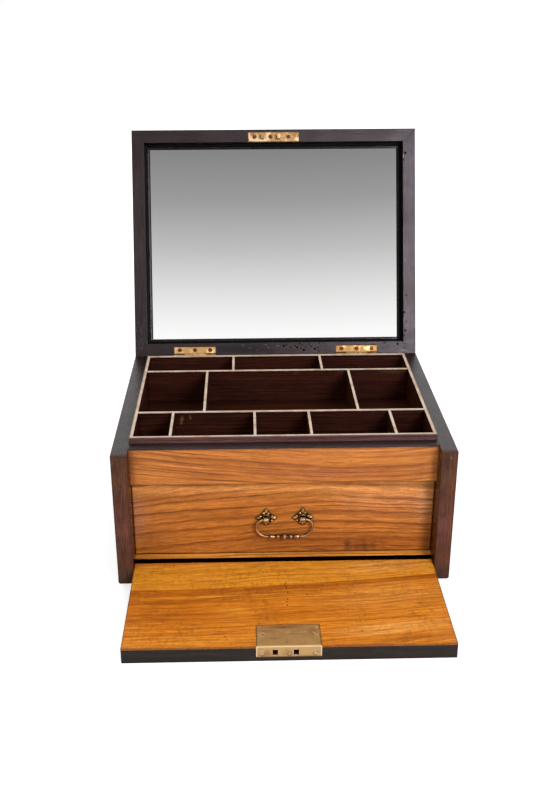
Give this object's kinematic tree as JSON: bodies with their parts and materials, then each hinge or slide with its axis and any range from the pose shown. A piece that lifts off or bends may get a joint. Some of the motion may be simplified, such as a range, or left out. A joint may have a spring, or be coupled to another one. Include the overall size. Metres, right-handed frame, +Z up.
{
  "type": "vanity box",
  "caption": "Wooden vanity box with a mirrored lid, lift-out divided tray, drawer with bail handle and drop-down front with a box lock.",
  "frame": {"origin": "centre of the case's underside, on the surface it stands on", "axes": "+Z up, -Y towards the front, +X to the right seen from the front; drawn open, with the lid leaning back and the fall front down"},
  "size_m": [0.3, 0.4631, 0.3523],
  "materials": {
    "ebonised_wood": "polished near-black wood",
    "rosewood": "polished dark red-brown wood",
    "satinwood": "waxed golden figured wood",
    "carcase_wood": "plain planed secondary wood",
    "tray_wood": "very dark red-brown wood, low sheen",
    "pale_capping": "pale line inlay, satin",
    "mirror_glass": "silvered bevelled plate",
    "bright_brass": "polished brass with light tarnish",
    "aged_brass": "brushed brass with brown tarnish",
    "screw_brass": "brass, slotted heads",
    "antique_brass": "dark cast brass, rubbed bright on high points"
  },
  "bodies": {
    "case": {"side_left": "ebonised_wood", "side_right": "ebonised_wood", "side_lipping_left": "rosewood", "side_lipping_right": "rosewood", "back_board": "ebonised_wood", "front_board": "ebonised_wood", "front_board_facing": "satinwood", "base_board": "carcase_wood", "base_front_slip": "satinwood", "well_floor": "carcase_wood", "hinge_case_leaf_left": "bright_brass", "hinge_case_leaf_right": "bright_brass", "hinge_pins": "screw_brass", "hinge_case_screws": "screw_brass", "fall_pivot_pins": "screw_brass"},
    "lid": {"lid_panel": "ebonised_wood", "lid_rail_back": "ebonised_wood", "lid_rail_front": "ebonised_wood", "lid_rail_left": "ebonised_wood", "lid_rail_right": "ebonised_wood", "mirror_moulding": "ebonised_wood", "mirror_glass": "mirror_glass", "mirror_backboard": "carcase_wood", "link_plate": "bright_brass", "link_plate_screws": "screw_brass", "hinge_lid_leaf_left": "bright_brass", "hinge_lid_leaf_right": "bright_brass", "hinge_lid_screws": "screw_brass"},
    "fall_front": {"fall_board": "ebonised_wood", "fall_lining": "satinwood", "lock_plate": "aged_brass", "lock_cap": "aged_brass", "lock_screws": "screw_brass", "lock_key_pin": "aged_brass", "keyhole_escutcheon": "bright_brass"},
    "lock_bolt": {"lock_bolt": "aged_brass"},
    "drawer": {"drawer_front": "carcase_wood", "drawer_facing": "satinwood", "drawer_side_left": "carcase_wood", "drawer_side_right": "carcase_wood", "drawer_back": "carcase_wood", "drawer_bottom": "carcase_wood", "rosette_left": "antique_brass", "rosette_right": "antique_brass", "handle_posts": "antique_brass", "handle_nuts": "screw_brass"},
    "bail": {"bail": "antique_brass"},
    "tray": {"tray_floor": "tray_wood", "tray_wall_front": "tray_wood", "tray_wall_back": "tray_wood", "tray_wall_left": "tray_wood", "tray_wall_right": "tray_wood", "tray_long_divider_front": "tray_wood", "tray_long_divider_back": "tray_wood", "tray_dividers_front_row": "tray_wood", "tray_dividers_middle_row": "tray_wood", "tray_dividers_back_row": "tray_wood", "tray_rim_capping": "pale_capping", "tray_divider_capping": "pale_capping"}
  },
  "joints": [
    {"name": "lid_hinge", "type": "hinge", "parent": "case", "child": "lid", "pos_m": [0, 0.119, 0.1287], "axis": [-1, 0, 0], "range_deg": [-110, 0]},
    {"name": "fall_hinge", "type": "hinge", "parent": "case", "child": "fall_front", "pos_m": [0, -0.1119, 0.0071], "axis": [1, 0, 0], "range_deg": [-90, 0]},
    {"name": "lock_bolt_slide", "type": "slide", "parent": "fall_front", "child": "lock_bolt", "axis": [1, 0, 0], "range_m": [0, 0.002]},
    {"name": "drawer_slide", "type": "slide", "parent": "case", "child": "drawer", "axis": [0, -1, 0], "range_m": [0, 0.15]},
    {"name": "bail_swing", "type": "hinge", "parent": "drawer", "child": "bail", "pos_m": [0.0007, -0.10095, 0.0535], "axis": [-1, 0, 0], "range_deg": [0, 170]},
    {"name": "tray_lift", "type": "slide", "parent": "case", "child": "tray", "axis": [0, 0, 1], "range_m": [0, 0.07]}
  ]
}
